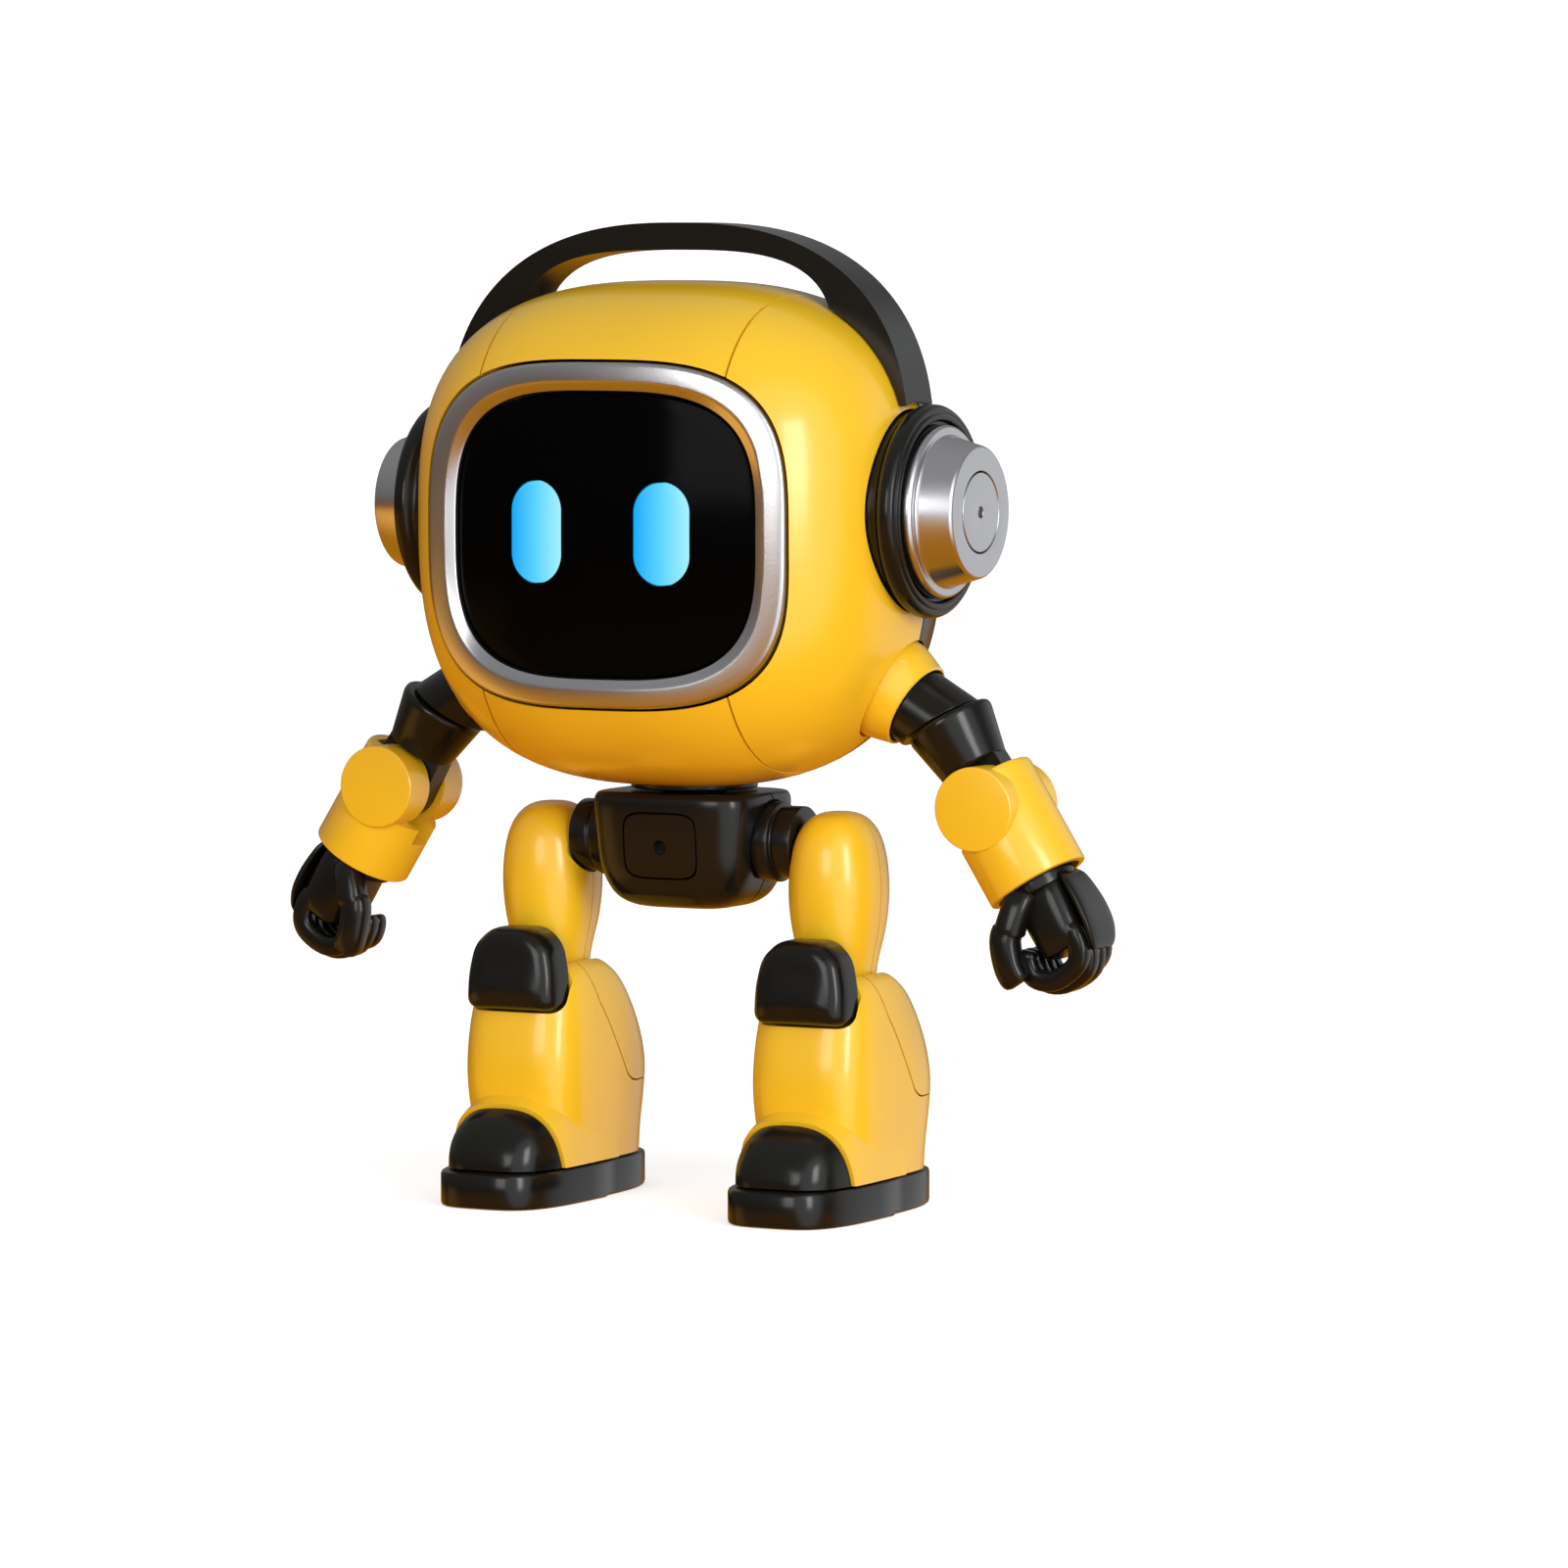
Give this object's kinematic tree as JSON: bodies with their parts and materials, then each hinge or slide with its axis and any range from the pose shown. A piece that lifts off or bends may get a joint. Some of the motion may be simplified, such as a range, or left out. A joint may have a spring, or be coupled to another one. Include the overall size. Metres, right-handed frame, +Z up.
{
  "type": "walking toy robot",
  "caption": "Big-headed walking toy robot with screen face and lit eyes, headphones, jointed arms with fists, geared hips, bending knees and flat boots.",
  "frame": {"origin": "centre of the footprint at the bottom of the soles", "axes": "+Z up, the face looks along -Y, +X towards the robot's own left hand"},
  "size_m": [0.1204, 0.0544, 0.1298],
  "materials": {
    "yellow_gloss": "glossy moulded yellow",
    "black_gloss": "glossy moulded black",
    "satin_silver": "satin silver coating",
    "screen_glass": "clear-coated black lens",
    "eye_glow": "lit cyan light guide",
    "circuit_board": "green solder mask",
    "speaker_black": "matt black",
    "battery_sleeve": "printed-free coloured sleeve",
    "steel": "plain steel",
    "brass": "plain brass"
  },
  "bodies": {
    "pelvis": {"pelvis_front_shell": "black_gloss", "pelvis_back_shell": "black_gloss", "gear_motor": "steel"},
    "pinion": {"drive_pinion": "brass"},
    "button": {"mode_button": "black_gloss"},
    "head": {"head_centre_shell": "yellow_gloss", "head_side_shell_left": "yellow_gloss", "head_side_shell_right": "yellow_gloss", "head_back_cover": "black_gloss", "battery_door": "black_gloss", "battery_door_screw": "steel", "face_bezel": "satin_silver", "screen_lens": "screen_glass", "eye_light_left": "eye_glow", "eye_light_right": "eye_glow", "display_board": "circuit_board", "main_board": "circuit_board", "speaker": "speaker_black", "battery_upper": "battery_sleeve", "battery_lower": "battery_sleeve", "headband": "black_gloss", "neck_turntable": "black_gloss", "ear_pad_left": "black_gloss", "ear_pad_right": "black_gloss", "ear_pod_left": "satin_silver", "ear_pod_right": "satin_silver", "ear_cap_left": "satin_silver", "ear_cap_right": "satin_silver", "shoulder_collar_left": "yellow_gloss", "shoulder_collar_right": "yellow_gloss"},
    "shoulder_left": {"shoulder_joint_left": "black_gloss"},
    "upper_arm_left": {"upper_arm_left": "black_gloss"},
    "forearm_left": {"forearm_sleeve_left": "yellow_gloss", "elbow_pin_left": "steel"},
    "hand_left": {"hand_left": "black_gloss", "hand_back_plate_left": "black_gloss"},
    "thigh_left": {"hip_shaft_left": "black_gloss", "thigh_front_shell_left": "yellow_gloss", "thigh_back_shell_left": "yellow_gloss"},
    "shin_left": {"boot_shell_left": "yellow_gloss", "calf_panel_left": "yellow_gloss", "knee_pad_left": "black_gloss", "toe_cap_left": "black_gloss", "sole_left": "black_gloss", "knee_pin_left": "steel"},
    "shoulder_right": {"shoulder_joint_right": "black_gloss"},
    "upper_arm_right": {"upper_arm_right": "black_gloss"},
    "forearm_right": {"forearm_sleeve_right": "yellow_gloss", "elbow_pin_right": "steel"},
    "hand_right": {"hand_right": "black_gloss", "hand_back_plate_right": "black_gloss"},
    "thigh_right": {"hip_shaft_right": "black_gloss", "thigh_front_shell_right": "yellow_gloss", "thigh_back_shell_right": "yellow_gloss"},
    "shin_right": {"boot_shell_right": "yellow_gloss", "calf_panel_right": "yellow_gloss", "knee_pad_right": "black_gloss", "toe_cap_right": "black_gloss", "sole_right": "black_gloss", "knee_pin_right": "steel"}
  },
  "joints": [
    {"name": "waist_yaw", "type": "hinge", "parent": "pelvis", "child": "head", "pos_m": [0, 0, 0.054], "axis": [0, 0, 1], "range_deg": [-15, 15]},
    {"name": "mode_button_press", "type": "slide", "parent": "pelvis", "child": "button", "axis": [0, 1, 0], "range_m": [0, 0.0007], "stiffness_N_per_m": 300, "springref_m": -0.0002},
    {"name": "pinion_spin", "type": "hinge", "parent": "pelvis", "child": "pinion", "pos_m": [0, 0.0025, 0.0485], "axis": [0, 1, 0], "range_deg": [-19, 19]},
    {"name": "shoulder_turn_left", "type": "hinge", "parent": "head", "child": "shoulder_left", "pos_m": [0.03305, -0.0004, 0.06697], "axis": [0.8601, 0, -0.5101], "range_deg": [-90, 30]},
    {"name": "upper_arm_swivel_left", "type": "hinge", "parent": "shoulder_left", "child": "upper_arm_left", "pos_m": [0.03774, -0.0004, 0.06522], "axis": [0.5319, 0, -0.8468], "range_deg": [-60, 60]},
    {"name": "elbow_bend_left", "type": "hinge", "parent": "upper_arm_left", "child": "forearm_left", "pos_m": [0.0446, -0.0004, 0.0543], "axis": [0, 1, 0], "range_deg": [0, 40]},
    {"name": "wrist_turn_left", "type": "hinge", "parent": "forearm_left", "child": "hand_left", "pos_m": [0.05088, -0.0004, 0.04431], "axis": [0.5319, 0, -0.8468], "range_deg": [-60, 60]},
    {"name": "hip_swing_left", "type": "hinge", "parent": "pelvis", "child": "thigh_left", "pos_m": [0.012, 0, 0.0485], "axis": [1, 0, 0], "range_deg": [-18, 18]},
    {"name": "knee_bend_left", "type": "hinge", "parent": "thigh_left", "child": "shin_left", "pos_m": [0.0215, 0, 0.0285], "axis": [1, 0, 0], "range_deg": [0, 35]},
    {"name": "shoulder_turn_right", "type": "hinge", "parent": "head", "child": "shoulder_right", "pos_m": [-0.03305, -0.0004, 0.06697], "axis": [0.8601, 0, 0.5101], "range_deg": [-90, 30]},
    {"name": "upper_arm_swivel_right", "type": "hinge", "parent": "shoulder_right", "child": "upper_arm_right", "pos_m": [-0.03774, -0.0004, 0.06522], "axis": [0.5319, 0, 0.8468], "range_deg": [-60, 60]},
    {"name": "elbow_bend_right", "type": "hinge", "parent": "upper_arm_right", "child": "forearm_right", "pos_m": [-0.0446, -0.0004, 0.0543], "axis": [0, -1, 0], "range_deg": [0, 40]},
    {"name": "wrist_turn_right", "type": "hinge", "parent": "forearm_right", "child": "hand_right", "pos_m": [-0.05088, -0.0004, 0.04431], "axis": [0.5319, 0, 0.8468], "range_deg": [-60, 60]},
    {"name": "hip_swing_right", "type": "hinge", "parent": "pelvis", "child": "thigh_right", "pos_m": [-0.012, 0, 0.0485], "axis": [1, 0, 0], "range_deg": [-19, 19]},
    {"name": "knee_bend_right", "type": "hinge", "parent": "thigh_right", "child": "shin_right", "pos_m": [-0.0215, 0, 0.0285], "axis": [1, 0, 0], "range_deg": [0, 35]}
  ],
  "couplings": [
    {"joint": "hip_swing_right", "follows": "hip_swing_left", "ratio": -1},
    {"joint": "pinion_spin", "follows": "hip_swing_left", "ratio": -1}
  ]
}
